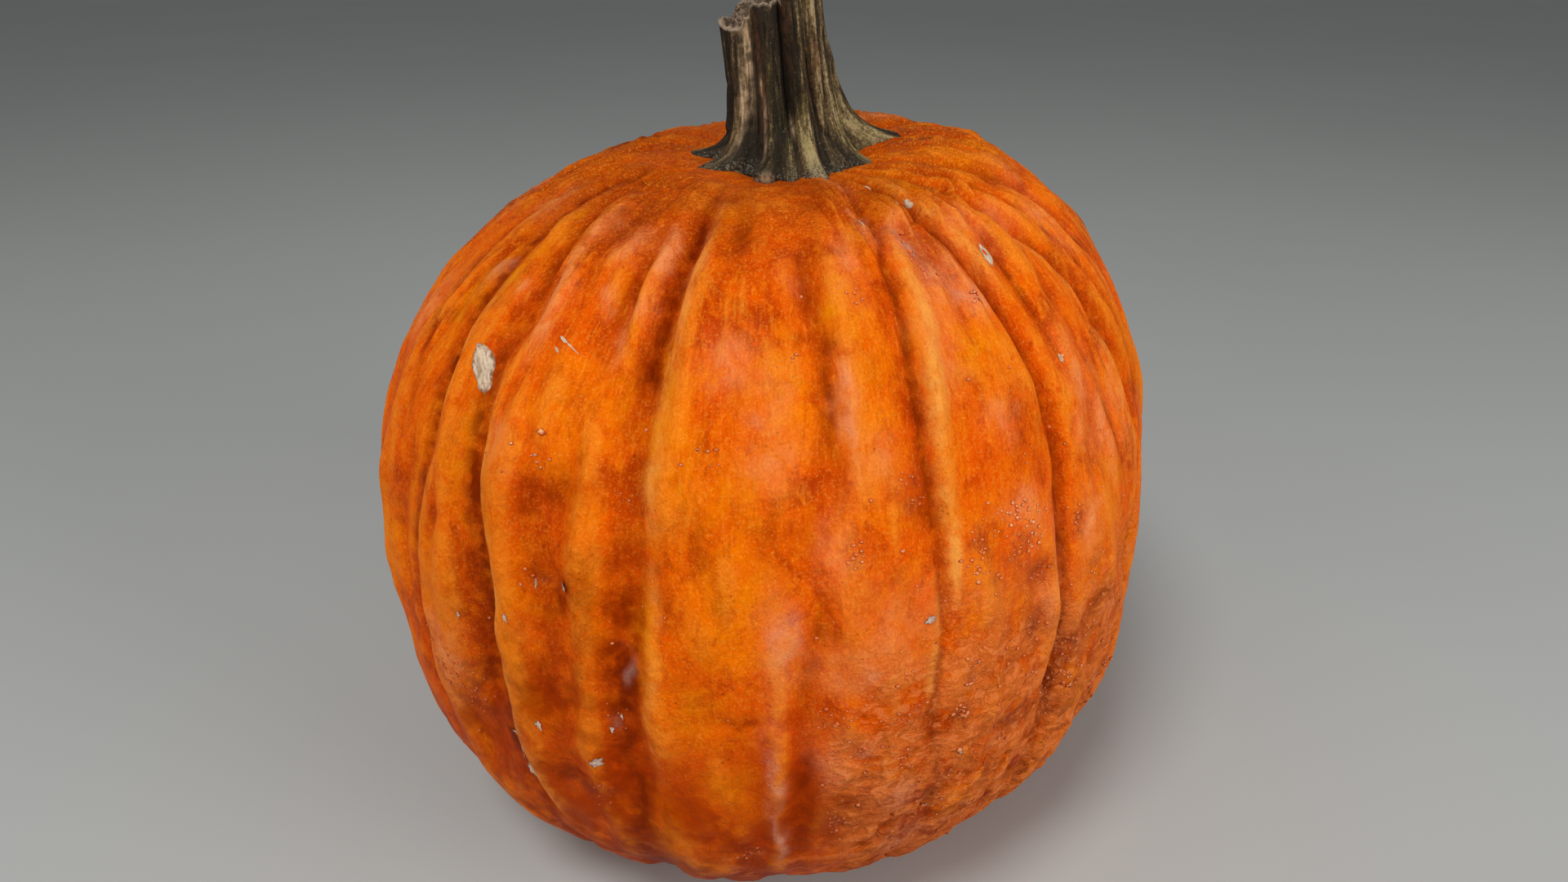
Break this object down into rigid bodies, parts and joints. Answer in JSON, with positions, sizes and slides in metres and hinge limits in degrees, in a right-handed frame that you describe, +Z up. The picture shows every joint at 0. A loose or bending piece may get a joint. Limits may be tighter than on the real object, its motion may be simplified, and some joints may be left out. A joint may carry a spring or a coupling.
{
  "type": "pumpkin",
  "caption": "Round ribbed pumpkin as picked, with its dry woody stem broken off unevenly, resting on a small flat spot.",
  "frame": {"origin": "middle of the small flat spot that the fruit rests on, in the plane of the surface under it", "axes": "+Z up through the fruit to the stem, -Y towards the viewer's side, where the stem's low broken half faces left, +X to the viewer's right"},
  "size_m": [0.2503, 0.251, 0.2744],
  "materials": {
    "rind": "waxy mottled orange skin, satin",
    "dry_stem": "dry, furrowed and fibrous, matt"
  },
  "bodies": {
    "root": {"fruit": "rind", "stem": "dry_stem"}
  },
  "joints": []
}
